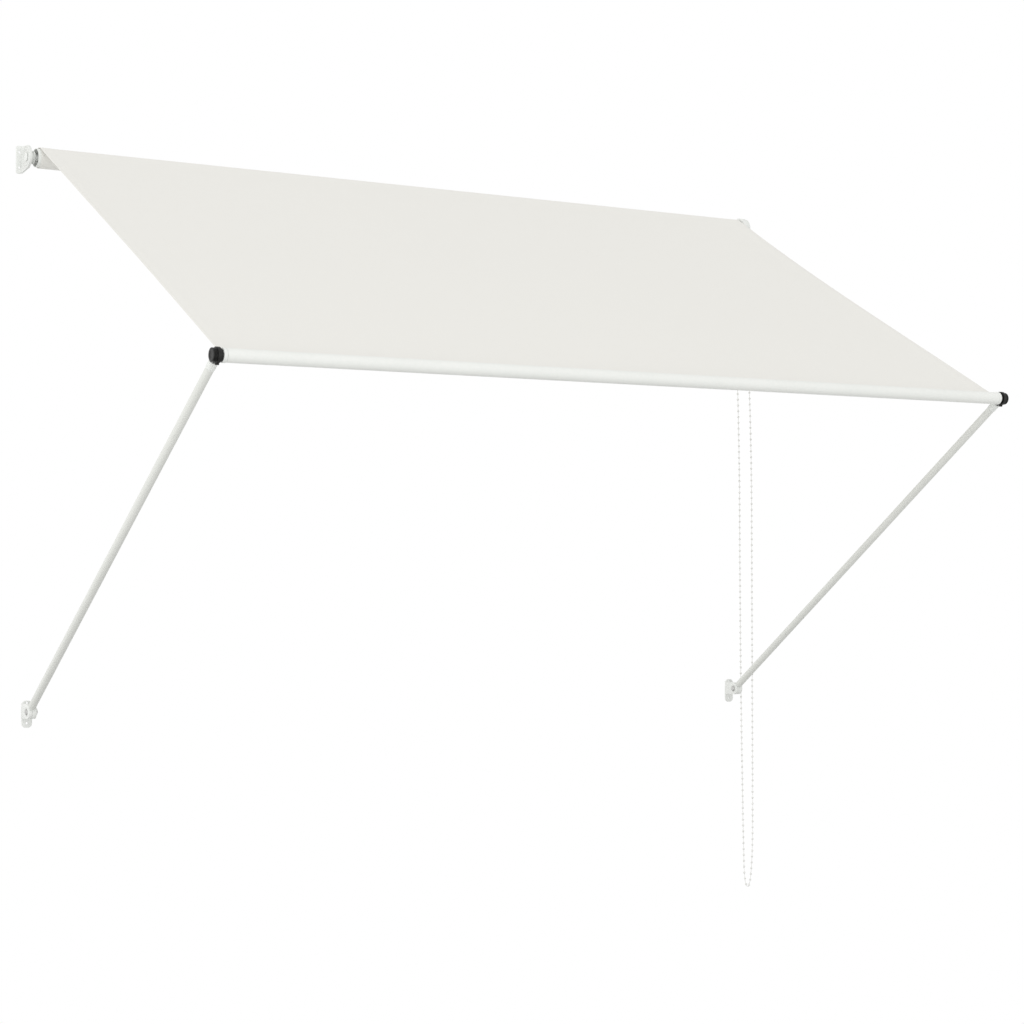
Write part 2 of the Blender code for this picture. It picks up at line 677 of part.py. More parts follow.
# Canvas: the turns left on the roller, and the sheet from the roll to the bar with its side hems.
def canvas_roll():
    # A spiral outline: the outer turn ends in a step of one cloth where the sheet leaves.
    count = 36
    leave = math.degrees(canvas_angle) + 90
    outline = [arc((0, 0), roll_outer - cloth * (1 - k / (count - 1)), leave + 360 * k / count,
                   leave + 360 * k / count, 1)[0] for k in range(count)]
    hollow = circle((0, 0), roll_inner, count)
    middle = outboard(left, -canvas_left) + canvas_width / 2
    roll = flat("canvas_roll", outline, [hollow], canvas_width, facing_x, (middle, roller.y, roller.z))
    keep(roll, "canvas")


def canvas_rows():
    # Side view of the sheet: (place in the y-z plane, share of the way from the bar, in the slot or not).
    inner = pocket_middle + rod_radius + gap + hem_cloth / 2
    outer = cap_radius + 2 * gap
    rows = [(bar + canvas_dir * inner, 0, True), (bar + canvas_dir * (bar_radius + gap), 0, True)]
    count = 14
    for k in range(count + 1):
        share = k / count
        run = outer + (canvas_run - outer) * share
        sag = canvas_sag * 4 * share * (1 - share)
        rows.append((bar + canvas_dir * run - canvas_up * sag, share, False))
    turns = 5
    for k in range(1, turns + 1):
        turn = canvas_angle + math.pi / 2 - overlap_angle * k / turns
        spoke = Vector((0, math.cos(turn), math.sin(turn)))
        rows.append((roller + spoke * lay_radius, 1, False))
    return rows


def canvas_sheet():
    slot_left = outboard(left, -bar_end - slot_end)
    slot_right = outboard(right, -bar_end - slot_end)
    hem = [0, hem_width, hem_width + 0.002]
    inner = [hem[-1] + (canvas_width - 2 * hem[-1]) * k / 6 for k in range(1, 6)]
    offsets = hem + inner + [canvas_width - offset for offset in reversed(hem)]
    cage = bmesh.new()
    grid = []
    for place, share, in_slot in canvas_rows():
        drawn_in = [4 * along * (1 - along) for along in (share, share ** bow_shift)]
        low = outboard(left, -canvas_left_bar + (canvas_left_bar - canvas_left) * share - bow_left * drawn_in[0])
        high = outboard(right, -canvas_right_bar + (canvas_right_bar - canvas_right) * share
                        - bow_right * drawn_in[1])
        row = []
        for offset in offsets:
            # The hems keep their width and the cloth between them takes up the difference.
            across = (offset - hem_width) / (canvas_width - 2 * hem_width)
            across = min(max(across, 0), 1)
            x = low + offset + (high - low - canvas_width) * across
            x = min(max(x, slot_left), slot_right) if in_slot else x
            row.append(cage.verts.new((x, place.y, place.z)))
        grid.append(row)
    for low, high in zip(grid, grid[1:]):
        for a, b, c, d in zip(low, low[1:], high[1:], high):
            cage.faces.new((a, b, c, d))
    mesh = bpy.data.meshes.new("canvas")
    cage.to_mesh(mesh)
    cage.free()
    sheet = bpy.data.objects.new("canvas", mesh)
    hems = sheet.vertex_groups.new(name="hems")
    across = len(offsets)
    hem_columns = {0, 1, across - 2, across - 1}
    hem_rows = {0, 1, 2}
    for k in range(len(mesh.vertices)):
        row, column = divmod(k, across)
        hems.add([k], 1.0 if column in hem_columns or row in hem_rows else cloth / hem_cloth, "REPLACE")
    solidify = sheet.modifiers.new("Cloth", "SOLIDIFY")
    solidify.thickness = hem_cloth
    solidify.offset = 0
    solidify.vertex_group = "hems"
    keep(sheet, "canvas")


roller_bracket("roller_bracket_left", left)
roller_bracket("roller_bracket_right", right)
roller_pieces()
idle_pin()
chain_wheel()
chain_guard()
bead_chain()
for suffix, side in (("left", left), ("right", right)):
    arm_bracket("arm_bracket_" + suffix, side)
    pivot_bolt(suffix, side)
    arm(suffix, side)
    bar_pivot(suffix, side)
front_bar()
canvas_roll()
canvas_sheet()
hang(["roller_tube", "idle_plug", "drive_plug", "chain_wheel", "wheel_cap", "canvas_roll"], "roller_spin", roller)
hang(["front_bar_tube", "canvas_rod", "canvas"]
     + [name + suffix for name in ("bar_cap_", "pivot_collar_", "pivot_knob_", "pivot_pin_")
        for suffix in ("left", "right")], "bar_swing", bar)
for thing in parts.objects:
    if thing.type == "MESH":
        smooth(thing.data)
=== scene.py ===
import json
import math
import bmesh
import bpy
from mathutils import Matrix, Vector, noise


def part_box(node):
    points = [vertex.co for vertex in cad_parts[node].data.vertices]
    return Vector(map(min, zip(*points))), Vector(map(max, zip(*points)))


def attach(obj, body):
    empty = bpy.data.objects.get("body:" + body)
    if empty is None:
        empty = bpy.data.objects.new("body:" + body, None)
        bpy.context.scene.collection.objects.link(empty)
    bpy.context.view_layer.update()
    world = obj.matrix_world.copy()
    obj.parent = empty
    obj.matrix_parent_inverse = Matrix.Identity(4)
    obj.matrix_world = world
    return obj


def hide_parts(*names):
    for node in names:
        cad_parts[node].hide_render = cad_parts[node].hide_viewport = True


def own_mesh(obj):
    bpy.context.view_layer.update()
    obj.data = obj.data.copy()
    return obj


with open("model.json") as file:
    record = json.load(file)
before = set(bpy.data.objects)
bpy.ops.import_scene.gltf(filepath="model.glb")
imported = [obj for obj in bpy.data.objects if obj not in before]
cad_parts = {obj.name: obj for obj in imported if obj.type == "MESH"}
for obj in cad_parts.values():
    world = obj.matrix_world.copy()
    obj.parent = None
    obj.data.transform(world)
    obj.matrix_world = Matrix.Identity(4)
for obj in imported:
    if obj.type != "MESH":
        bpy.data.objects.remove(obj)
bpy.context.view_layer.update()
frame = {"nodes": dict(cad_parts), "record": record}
cadNodes = frame["nodes"]
tau = math.tau


def middleOf(node):
    low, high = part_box(node)
    return (low + high) / 2


# places that everything else is built from
rollerAxis = middleOf("roller_tube")
barAxis = middleOf("front_bar_tube")
barAxis.y, barAxis.z = middleOf("pivot_pin_left").yz
armPivot = {"left": middleOf("pivot_bolt_left"), "right": middleOf("pivot_bolt_right")}
for side, planeX in (("left", 0.0), ("right", middleOf("arm_eye_right").x)):
    armPivot[side].x = planeX
span = armPivot["right"].x
armHead = {side: Vector((armPivot[side].x, barAxis.y, barAxis.z)) for side in armPivot}
armDir = (armHead["left"] - armPivot["left"]).normalized()
outward = {"left": -1.0, "right": 1.0}
print("frame loaded:", len(cadNodes), "nodes, arms", round(span, 4), "m apart")


# camera: from the photograph, about 4 m off to the left and level with the lower half
cameraSetup = {
    "place": (-1.29225, -3.69980, 0.28322),
    "yaw": 31.5396,
    "pitch": 0.9401,
    "roll": 0.4030,
    "lens": 78.547,
}


def makeCamera(setup):
    yaw, pitch, roll = (math.radians(setup[key]) for key in ("yaw", "pitch", "roll"))
    forward = Vector((math.sin(yaw) * math.cos(pitch), math.cos(yaw) * math.cos(pitch), math.sin(pitch)))
    level = forward.cross(Vector((0, 0, 1))).normalized()
    upright = level.cross(forward)
    across = math.cos(roll) * level + math.sin(roll) * upright
    above = -math.sin(roll) * level + math.cos(roll) * upright
    data = bpy.data.cameras.new("photoCamera")
    data.lens = setup["lens"]
    data.sensor_width = 36
    data.sensor_fit = "HORIZONTAL"
    data.clip_start = 0.05
    data.clip_end = 60
    camera = bpy.data.objects.new("photoCamera", data)
    bpy.context.scene.collection.objects.link(camera)
    turn = Matrix((across, above, -forward)).transposed().to_4x4()
    camera.matrix_world = Matrix.Translation(Vector(setup["place"])) @ turn
    bpy.context.scene.camera = camera
    return camera


makeCamera(cameraSetup)
print("camera placed")


# mesh helpers
def linkMesh(name, cage, smoothAngle=35):
    bmesh.ops.recalc_face_normals(cage, faces=cage.faces)
    mesh = bpy.data.meshes.new(name)
    cage.to_mesh(mesh)
    cage.free()
    mesh.shade_smooth()
    mesh.set_sharp_from_angle(angle=math.radians(smoothAngle))
    piece = bpy.data.objects.new(name, mesh)
    bpy.context.scene.collection.objects.link(piece)
    return piece


def basisAlong(direction):
    # matrix that carries +Z onto a direction
    return Vector((0, 0, 1)).rotation_difference(Vector(direction)).to_matrix().to_4x4()


def addLathe(cage, profile, place, direction, sides=64, twist=0.0):
    # profile: (along the axis, radius) pairs, closed; radius 0 ends on the axis
    turn = Matrix.Translation(Vector(place)) @ basisAlong(direction)
    rings = []
    for along, radius in profile:
        if radius < 1e-7:
            rings.append([cage.verts.new(turn @ Vector((0, 0, along)))])
            continue
        rings.append([cage.verts.new(turn @ Vector((radius * math.cos(tau * k / sides + twist),
                                                    radius * math.sin(tau * k / sides + twist), along)))
                      for k in range(sides)])
    closed = profile[0][1] > 1e-7 or profile[-1][1] > 1e-7
    pairs = list(zip(rings, rings[1:])) + ([(rings[-1], rings[0])] if closed else [])
    for a, b in pairs:
        for k in range(sides):
            n = (k + 1) % sides
            if len(a) == 1 and len(b) == 1:
                break
            if len(a) == 1:
                cage.faces.new((a[0], b[k], b[n]))
            elif len(b) == 1:
                cage.faces.new((a[k], b[0], a[n]))
            else:
                cage.faces.new((a[k], b[k], b[n], a[n]))


def softened(profile, radius, steps=3):
    # rounds the corners of a closed profile, except those on the axis
    done = []
    count = len(profile)
    onAxis = profile[0][1] < 1e-7 and profile[-1][1] < 1e-7
    for k, corner in enumerate(profile):
        here = Vector(corner)
        before, after = Vector(profile[k - 1]), Vector(profile[(k + 1) % count])
        if onAxis and k in (0, count - 1):
            done.append(tuple(here))
            continue
        back, ahead = before - here, after - here
        reach = min(radius, back.length * 0.45, ahead.length * 0.45)
        if reach < 1e-5:
            done.append(tuple(here))
            continue
        start, end = here + back.normalized() * reach, here + ahead.normalized() * reach
        for s in range(steps + 1):
            t = s / steps
            point = start * (1 - t) ** 2 + here * 2 * t * (1 - t) + end * t * t
            done.append((point.x, max(point.y, 0.0)))
    return done


# bead chain: an endless string over the wheel, hanging to a bend at the bottom
chainFacts = {
    "x": span + 0.0068,
    # a pitch circle on which nine beads sit in nine cups
    "wheelRadius": 0.012 / (2 * math.sin(math.pi / 9)),
    "bottom": -0.4045,
    "pitch": 0.012,
    "beadRadius": 0.00225,
    "stringRadius": 0.00055,
    # shift along the wall, shift from the wall, half width and height of the two strands
    "hanging": [(0.0000, 0.0000, 0.01755, 0.9325), (0.0003, -0.0003, 0.0177, 0.902),
                (0.0013, -0.0009, 0.0181, 0.840), (0.0046, -0.0027, 0.0190, 0.700),
                (0.0088, -0.0052, 0.0199, 0.560), (0.0115, -0.0070, 0.0201, 0.420),
                (0.0124, -0.0086, 0.0201, 0.260), (0.0134, -0.0101, 0.0195, 0.100),
                (0.0147, -0.0117, 0.0184, -0.060), (0.0162, -0.0132, 0.0169, -0.200),
                (0.0172, -0.0143, 0.0149, -0.315), (0.0170, -0.0141, 0.0098, -0.385)],
}


def chainLine(facts):
    y, z, wheel = rollerAxis.y, rollerAxis.z, facts["wheelRadius"]
    knots = [Vector((facts["x"], y - wheel * math.sin(math.radians(15 * k)),
                     z + wheel * math.cos(math.radians(15 * k)))) for k in range(7)]
    strands = [[Vector((facts["x"] + aside, y + lean + way * half, height))
                for aside, lean, half, height in facts["hanging"]] for way in (-1, 1)]
    over = [Vector((knot.x, 2 * y - knot.y, knot.z)) for knot in reversed(knots)]
    aside, lean = facts["hanging"][-1][:2]
    knots += strands[0] + [Vector((facts["x"] + aside, y + lean, facts["bottom"]))] + strands[1][::-1] + over
    ends = [2 * knots[0] - knots[1], *knots, 2 * knots[-1] - knots[-2]]
    line = []
    for a, b, c, d in zip(ends, ends[1:], ends[2:], ends[3:]):
        for k in range(40):
            t = k / 40
            line.append(0.5 * (2 * b + (c - a) * t + (2 * a - 5 * b + 4 * c - d) * t ** 2
                               + (3 * b - a - 3 * c + d) * t ** 3))
    return line + [knots[-1]]


def placesAlong(line, distances):
    found, walked, k = [], 0.0, 0
    for distance in distances:
        while k < len(line) - 2 and walked + (line[k + 1] - line[k]).length < distance:
            walked += (line[k + 1] - line[k]).length
            k += 1
        step = line[k + 1] - line[k]
        found.append((line[k] + step * ((distance - walked) / step.length), step.normalized()))
    return found


def makeChain(facts):
    line = chainLine(facts)
    length = sum((b - a).length for a, b in zip(line, line[1:]))
    beads = round(length / facts["pitch"])
    pitch = length / beads
    cage = bmesh.new()
    r, s = facts["beadRadius"], facts["stringRadius"]
    # each bead is a ball with a small flat round the hole that the string runs through
    ball = [(-r * math.cos(a), r * math.sin(a)) for a in (math.radians(14 + 152 * k / 8) for k in range(9))]
    outline = [(ball[0][0], 0.0)] + ball + [(ball[-1][0], 0.0)]
    for place, heading in placesAlong(line, [(k + 0.5) * pitch for k in range(beads)]):
        addLathe(cage, outline, place, heading, 12)
    half = pitch / 2 - r * 0.8
    for k in range(1, beads):
        at, heading = placesAlong(line, [k * pitch])[0]
        addLathe(cage, [(-half, 0.0), (-half, s), (half, s), (half, 0.0)], at, heading, 8)
    # the two half lengths that meet at the top of the wheel
    for at, heading in ((line[0], (line[1] - line[0]).normalized()),
                        (line[-1], (line[-2] - line[-1]).normalized())):
        addLathe(cage, [(0.0002, 0.0), (0.0002, s), (half, s), (half, 0.0)], at, heading, 8)
    chain = linkMesh("beadChain", cage, 50)
    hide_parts("pull_chain")
    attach(chain, "wall_side")
    stops = [p for p, _ in placesAlong(line, [length * k / 600 for k in range(601)])]
    return chain, length, beads


beadChain, chainLength, beadCount = makeChain(chainFacts)
print("chain:", beadCount, "beads on", round(chainLength, 3), "m")


# shader groups
def newGroup(name, inputs, outputs):
    group = bpy.data.node_groups.new(name, "ShaderNodeTree")
    for label, kind, value in inputs:
        socket = group.interface.new_socket(label, in_out="INPUT", socket_type=kind)
        if value is not None:
            socket.default_value = value
    for label, kind in outputs:
        group.interface.new_socket(label, in_out="OUTPUT", socket_type=kind)
    return group, group.nodes.new("NodeGroupInput"), group.nodes.new("NodeGroupOutput")


def wire(tree, *pairs):
    for source, target in pairs:
        tree.links.new(source, target)


def mathNode(tree, operation, a=None, b=None, clamp=False):
    node = tree.nodes.new("ShaderNodeMath")
    node.operation = operation
    node.use_clamp = clamp
    for slot, value in enumerate((a, b)):
        if value is None:
            continue
        if isinstance(value, (int, float)):
            node.inputs[slot].default_value = value
        else:
            tree.links.new(value, node.inputs[slot])
    return node.outputs[0]


def mixColour(tree, factor, a, b, blend="MIX"):
    node = tree.nodes.new("ShaderNodeMix")
    node.data_type = "RGBA"
    node.blend_type = blend
    for slot, value in ((node.inputs[0], factor), (node.inputs[6], a), (node.inputs[7], b)):
        if isinstance(value, (int, float, tuple)):
            slot.default_value = value
        else:
            tree.links.new(value, slot)
    return node.outputs[2]


def noiseNode(tree, vector, scale, detail=3.0, rough=0.5):
    node = tree.nodes.new("ShaderNodeTexNoise")
    node.inputs["Detail"].default_value = detail
    node.inputs["Roughness"].default_value = rough
    if isinstance(scale, (int, float)):
        node.inputs["Scale"].default_value = scale
    else:
        tree.links.new(scale, node.inputs["Scale"])
    tree.links.new(vector, node.inputs["Vector"])
    return node.outputs["Fac"]


def ramp(tree, value, low, high):
    node = tree.nodes.new("ShaderNodeMapRange")
    node.inputs["From Min"].default_value = low
    node.inputs["From Max"].default_value = high
    tree.links.new(value, node.inputs["Value"])
    return node.outputs["Result"]


def makeGrainGroup():
    # fine mottling of colour and gloss, with a height for the surface's texture
    group, gin, gout = newGroup("surfaceGrain", [
        ("Colour", "NodeSocketColor", (0.8, 0.8, 0.8, 1)),
        ("Shade", "NodeSocketColor", (0.7, 0.7, 0.7, 1)),
        ("Grain Scale", "NodeSocketFloat", 900.0),
        ("Patch Scale", "NodeSocketFloat", 14.0),
        ("Amount", "NodeSocketFloat", 0.3),
        ("Gloss", "NodeSocketFloat", 0.4),
        ("Gloss Spread", "NodeSocketFloat", 0.1),
    ], [("Colour", "NodeSocketColor"), ("Roughness", "NodeSocketFloat"), ("Height", "NodeSocketFloat")])
    place = group.nodes.new("ShaderNodeTexCoord").outputs["Object"]
    patches = noiseNode(group, place, gin.outputs["Patch Scale"], 4.0)
    grain = noiseNode(group, place, gin.outputs["Grain Scale"], 2.0)
    blend = mathNode(group, "MULTIPLY", ramp(group, patches, 0.35, 0.7), gin.outputs["Amount"], True)
    colour = mixColour(group, blend, gin.outputs["Colour"], gin.outputs["Shade"])
    offMiddle = mathNode(group, "SUBTRACT", patches, 0.5)
    swing = mathNode(group, "MULTIPLY", offMiddle, gin.outputs["Gloss Spread"])
    speck = mathNode(group, "MULTIPLY", mathNode(group, "SUBTRACT", grain, 0.5), 0.12)
    gloss = mathNode(group, "ADD", mathNode(group, "ADD", gin.outputs["Gloss"], swing), speck, True)
    wire(group, (colour, gout.inputs["Colour"]), (gloss, gout.inputs["Roughness"]),
         (grain, gout.inputs["Height"]))
    return group


def makeWearGroup():
    # rubbed edges and dirt in corners, from how sharply the surface bends
    group, gin, gout = newGroup("edgeWear", [
        ("Colour", "NodeSocketColor", (0.8, 0.8, 0.8, 1)),
        ("Worn", "NodeSocketColor", (0.9, 0.9, 0.9, 1)),
        ("Dirt", "NodeSocketColor", (0.4, 0.39, 0.36, 1)),
        ("Wear", "NodeSocketFloat", 0.5),
        ("Grime", "NodeSocketFloat", 0.3),
    ], [("Colour", "NodeSocketColor"), ("Edge", "NodeSocketFloat")])
    shape = group.nodes.new("ShaderNodeNewGeometry")
    place = group.nodes.new("ShaderNodeTexCoord").outputs["Object"]
    patchy = ramp(group, noiseNode(group, place, 160.0, 5.0, 0.65), 0.35, 0.65)
    edge = mathNode(group, "MULTIPLY", ramp(group, shape.outputs["Pointiness"], 0.52, 0.60), patchy, True)
    corner = ramp(group, shape.outputs["Pointiness"], 0.49, 0.42)
    dirty = mixColour(group, mathNode(group, "MULTIPLY", corner, gin.outputs["Grime"], True),
                      gin.outputs["Colour"], gin.outputs["Dirt"])
    worn = mixColour(group, mathNode(group, "MULTIPLY", edge, gin.outputs["Wear"], True), dirty,
                     gin.outputs["Worn"])
    wire(group, (worn, gout.inputs["Colour"]), (edge, gout.inputs["Edge"]))
    return group


def makeDustGroup():
    # a thin film of dust on what faces up
    group, gin, gout = newGroup("settledDust", [
        ("Colour", "NodeSocketColor", (0.8, 0.8, 0.8, 1)),
        ("Dust", "NodeSocketColor", (0.62, 0.60, 0.55, 1)),
        ("Amount", "NodeSocketFloat", 0.1),
    ], [("Colour", "NodeSocketColor"), ("Film", "NodeSocketFloat")])
    parts = group.nodes.new("ShaderNodeSeparateXYZ")
    wire(group, (group.nodes.new("ShaderNodeNewGeometry").outputs["Normal"], parts.inputs[0]))
    place = group.nodes.new("ShaderNodeTexCoord").outputs["Object"]
    patchy = ramp(group, noiseNode(group, place, 45.0, 6.0, 0.6), 0.3, 0.75)
    upward = ramp(group, parts.outputs["Z"], 0.2, 0.95)
    lying = mathNode(group, "MULTIPLY", upward, patchy)
    film = mathNode(group, "MULTIPLY", lying, gin.outputs["Amount"], True)
    wire(group, (mixColour(group, film, gin.outputs["Colour"], gin.outputs["Dust"]), gout.inputs["Colour"]),
         (film, gout.inputs["Film"]))
    return group


def makeWeaveGroup():
    # plain weave: warp and weft cross over and under, in the cloth's own coordinates in metres
    group, gin, gout = newGroup("plainWeave", [
        ("Yarn", "NodeSocketColor", (0.84, 0.83, 0.79, 1)),
        ("Gap", "NodeSocketColor", (0.7, 0.68, 0.62, 1)),
        ("Threads", "NodeSocketFloat", 1600.0),
        ("Slub", "NodeSocketFloat", 0.4),
        ("Depth", "NodeSocketFloat", 0.5),
    ], [("Colour", "NodeSocketColor"), ("Height", "NodeSocketFloat"), ("Roughness", "NodeSocketFloat")])
    cloth = group.nodes.new("ShaderNodeUVMap")
    cloth.uv_map = "clothPlace"
    split = group.nodes.new("ShaderNodeSeparateXYZ")
    wire(group, (cloth.outputs["UV"], split.inputs[0]))
    turns = []
    for label in ("X", "Y"):
        turns.append(mathNode(group, "MULTIPLY", mathNode(group, "MULTIPLY", split.outputs[label],
                                                          gin.outputs["Threads"]), math.pi))
    warp = mathNode(group, "ABSOLUTE", mathNode(group, "SINE", turns[0]))
    weft = mathNode(group, "ABSOLUTE", mathNode(group, "SINE", turns[1]))
    waves = [mathNode(group, "COSINE", turn) for turn in turns]
    crossing = mathNode(group, "MULTIPLY", waves[0], waves[1])
    over = ramp(group, crossing, -0.6, 0.6)
    first = mathNode(group, "MULTIPLY", warp, over)
    second = mathNode(group, "MULTIPLY", weft, mathNode(group, "SUBTRACT", 1.0, over))
    height = mathNode(group, "ADD", first, second)
    slubs = ramp(group, noiseNode(group, cloth.outputs["UV"], 420.0, 3.0, 0.6), 0.3, 0.8)
    raised = mathNode(group, "ADD", height, mathNode(group, "MULTIPLY", slubs, gin.outputs["Slub"]))
    hollow = mathNode(group, "MULTIPLY", mathNode(group, "SUBTRACT", 1.0, height), gin.outputs["Depth"], True)
    wire(group, (mixColour(group, hollow, gin.outputs["Yarn"], gin.outputs["Gap"]), gout.inputs["Colour"]),
         (raised, gout.inputs["Height"]),
         (mathNode(group, "ADD", mathNode(group, "MULTIPLY", slubs, 0.08), 0.84), gout.inputs["Roughness"]))
    return group


grainGroup = makeGrainGroup()
wearGroup = makeWearGroup()
dustGroup = makeDustGroup()
weaveGroup = makeWeaveGroup()


def useGroup(tree, group, **values):
    node = tree.nodes.new("ShaderNodeGroup")
    node.node_tree = group
    for label, value in values.items():
        node.inputs[label.replace("_", " ")].default_value = value
    return node


def newMaterial(name):
    material = bpy.data.materials.new(name)
    material.use_nodes = True
    return material, material.node_tree, material.node_tree.nodes["Principled BSDF"]


def addBump(tree, shader, height, distance, strength):
    bump = tree.nodes.new("ShaderNodeBump")
    bump.inputs["Distance"].default_value = distance
    bump.inputs["Strength"].default_value = strength
    wire(tree, (height, bump.inputs["Height"]), (bump.outputs["Normal"], shader.inputs["Normal"]))


def makeSolid(name, look):
    # moulded plastic, powder coat or metal
    material, tree, shader = newMaterial(name)
    grain = useGroup(tree, grainGroup, Colour=look["colour"], Shade=look["shade"], Grain_Scale=look["grain"],
                     Patch_Scale=look["patch"], Amount=look["amount"], Gloss=look["gloss"],
                     Gloss_Spread=look["spread"])
    wear = useGroup(tree, wearGroup, Worn=look["worn"], Dirt=look["dirt"], Wear=look["wear"],
                    Grime=look["grime"])
    dust = useGroup(tree, dustGroup, Dust=look["dust"], Amount=look["film"])
    wire(tree, (grain.outputs["Colour"], wear.inputs["Colour"]),
         (wear.outputs["Colour"], dust.inputs["Colour"]),
         (dust.outputs["Colour"], shader.inputs["Base Color"]),
         (grain.outputs["Roughness"], shader.inputs["Roughness"]))
    addBump(tree, shader, grain.outputs["Height"], look["bump"], look["strength"])
    shader.inputs["Metallic"].default_value = look.get("metal", 0.0)
    shader.inputs["IOR"].default_value = look.get("ior", 1.5)
    shader.inputs["Coat Weight"].default_value = look.get("coat", 0.0)
    shader.inputs["Coat Roughness"].default_value = 0.25
    return material


looks = {
    "white_paint": {
        "colour": (0.800, 0.815, 0.790, 1), "shade": (0.765, 0.785, 0.755, 1), "worn": (0.86, 0.86, 0.84, 1),
        "dirt": (0.52, 0.52, 0.48, 1), "dust": (0.74, 0.73, 0.69, 1), "grain": 1400.0, "patch": 9.0,
        "amount": 0.5, "gloss": 0.34, "spread": 0.10, "wear": 0.35, "grime": 0.25, "film": 0.10,
        "bump": 0.00004, "strength": 0.25, "coat": 0.15,
    },
    "white_plastic": {
        "colour": (0.790, 0.805, 0.785, 1), "shade": (0.740, 0.755, 0.730, 1), "worn": (0.88, 0.88, 0.86, 1),
        "dirt": (0.42, 0.42, 0.39, 1), "dust": (0.70, 0.69, 0.65, 1), "grain": 1900.0, "patch": 60.0,
        "amount": 0.45, "gloss": 0.42, "spread": 0.12, "wear": 0.45, "grime": 0.45, "film": 0.12,
        "bump": 0.00005, "strength": 0.35,
    },
    "white_beads": {
        "colour": (0.800, 0.800, 0.780, 1), "shade": (0.72, 0.72, 0.69, 1), "worn": (0.86, 0.86, 0.85, 1),
        "dirt": (0.50, 0.49, 0.46, 1), "dust": (0.70, 0.69, 0.65, 1), "grain": 2500.0, "patch": 40.0,
        "amount": 0.5, "gloss": 0.30, "spread": 0.10, "wear": 0.2, "grime": 0.35, "film": 0.05,
        "bump": 0.00002, "strength": 0.2,
    },
    "grey_plastic": {
        "colour": (0.16, 0.16, 0.16, 1), "shade": (0.12, 0.12, 0.12, 1), "worn": (0.28, 0.28, 0.28, 1),
        "dirt": (0.08, 0.08, 0.075, 1), "dust": (0.35, 0.34, 0.32, 1), "grain": 1700.0, "patch": 70.0,
        "amount": 0.5, "gloss": 0.5, "spread": 0.15, "wear": 0.5, "grime": 0.4, "film": 0.12,
        "bump": 0.00006, "strength": 0.4,
    },
    "black_plastic": {
        "colour": (0.007, 0.007, 0.007, 1), "shade": (0.012, 0.012, 0.011, 1),
        "worn": (0.045, 0.045, 0.044, 1), "dirt": (0.02, 0.02, 0.019, 1), "dust": (0.10, 0.097, 0.09, 1),
        "grain": 1700.0, "patch": 80.0,
        "amount": 0.6, "gloss": 0.40, "spread": 0.14, "wear": 0.55, "grime": 0.3, "film": 0.12,
        "bump": 0.00007, "strength": 0.45, "ior": 1.36,
    },
    "steel": {
        "colour": (0.56, 0.56, 0.55, 1), "shade": (0.46, 0.46, 0.45, 1), "worn": (0.70, 0.70, 0.69, 1),
        "dirt": (0.20, 0.18, 0.15, 1), "dust": (0.42, 0.40, 0.37, 1), "grain": 2600.0, "patch": 120.0,
        "amount": 0.6, "gloss": 0.34, "spread": 0.2, "wear": 0.6, "grime": 0.5, "film": 0.08,
        "bump": 0.00003, "strength": 0.4, "metal": 1.0,
    },
}
solids = {slotName: makeSolid(slotName + "_look", look) for slotName, look in looks.items()}
# arm tubes: a darker copy of the white paint, as painted shade, so the arms come out greyer than the bar
# under the same lamps
armShadedPaint = makeSolid("arm_paint_painted_shade_look", {**looks["white_paint"], "colour": (0.715, 0.725, 0.695, 1),
                                        "shade": (0.680, 0.695, 0.660, 1)})

canvasLook = {
    "yarn": (0.819, 0.813, 0.781, 1),
    "gap": (0.745, 0.733, 0.692, 1),
    "stain": (0.770, 0.750, 0.700, 1),
    "threads": 1500.0,
    "sheen": 0.12,
}


def makeCanvasMaterial(look):
    material, tree, shader = newMaterial("canvas_look")
    weave = useGroup(tree, weaveGroup, Yarn=look["yarn"], Gap=look["gap"], Threads=look["threads"], Slub=0.35,
                     Depth=0.55)
    dust = useGroup(tree, dustGroup, Dust=look["stain"], Amount=0.10)
    wire(tree, (weave.outputs["Colour"], dust.inputs["Colour"]),
         (dust.outputs["Colour"], shader.inputs["Base Color"]),
         (weave.outputs["Roughness"], shader.inputs["Roughness"]))
    addBump(tree, shader, weave.outputs["Height"], 0.00012, 0.5)
    shader.inputs["Sheen Weight"].default_value = look["sheen"]
    shader.inputs["Sheen Roughness"].default_value = 0.5
    shader.inputs["Specular IOR Level"].default_value = 0.3
    return material


canvasMaterial = makeCanvasMaterial(canvasLook)


def paint(piece, slotName):
    piece.data.materials.clear()
    piece.data.materials.append(solids[slotName] if slotName in solids else canvasMaterial)


slotOf = {entry["node"]: entry["material_slot"] for entry in frame["record"]["subparts"]}
for nodeName, node in cadNodes.items():
    node.data.materials.clear()
    node.data.materials.append(solids.get(slotOf[nodeName], canvasMaterial))
paint(beadChain, "white_beads")
print("materials:", len(solids) + 1)


# finer pieces in place of the solids: turned ones are turned again, the others get their edges broken
bodyOf = {node: body for body, members in frame["record"]["behaviour"]["bodies"].items() for node in members}


def settle(piece, node):
    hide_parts(node)
    paint(piece, slotOf[node])
    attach(piece, bodyOf[node])
    return piece


def turnAgain(node, profile, place, direction, soft=0.0003, sides=72):
    cage = bmesh.new()
    addLathe(cage, softened(profile, soft), place, direction, sides)
    return settle(linkMesh(node + "_fine", cage, 40), node)


def carve(piece, cutter):
    # takes the cutter's form out of a piece, for good
    cut = piece.modifiers.new("cut", "BOOLEAN")
    cut.operation = "DIFFERENCE"
    cut.solver = "EXACT"
    cut.object = cutter
    shaped = bpy.data.meshes.new_from_object(piece.evaluated_get(bpy.context.evaluated_depsgraph_get()))
    piece.modifiers.clear()
    piece.data = shaped
    shaped.set_sharp_from_angle(angle=math.radians(40))
    bpy.data.objects.remove(cutter)


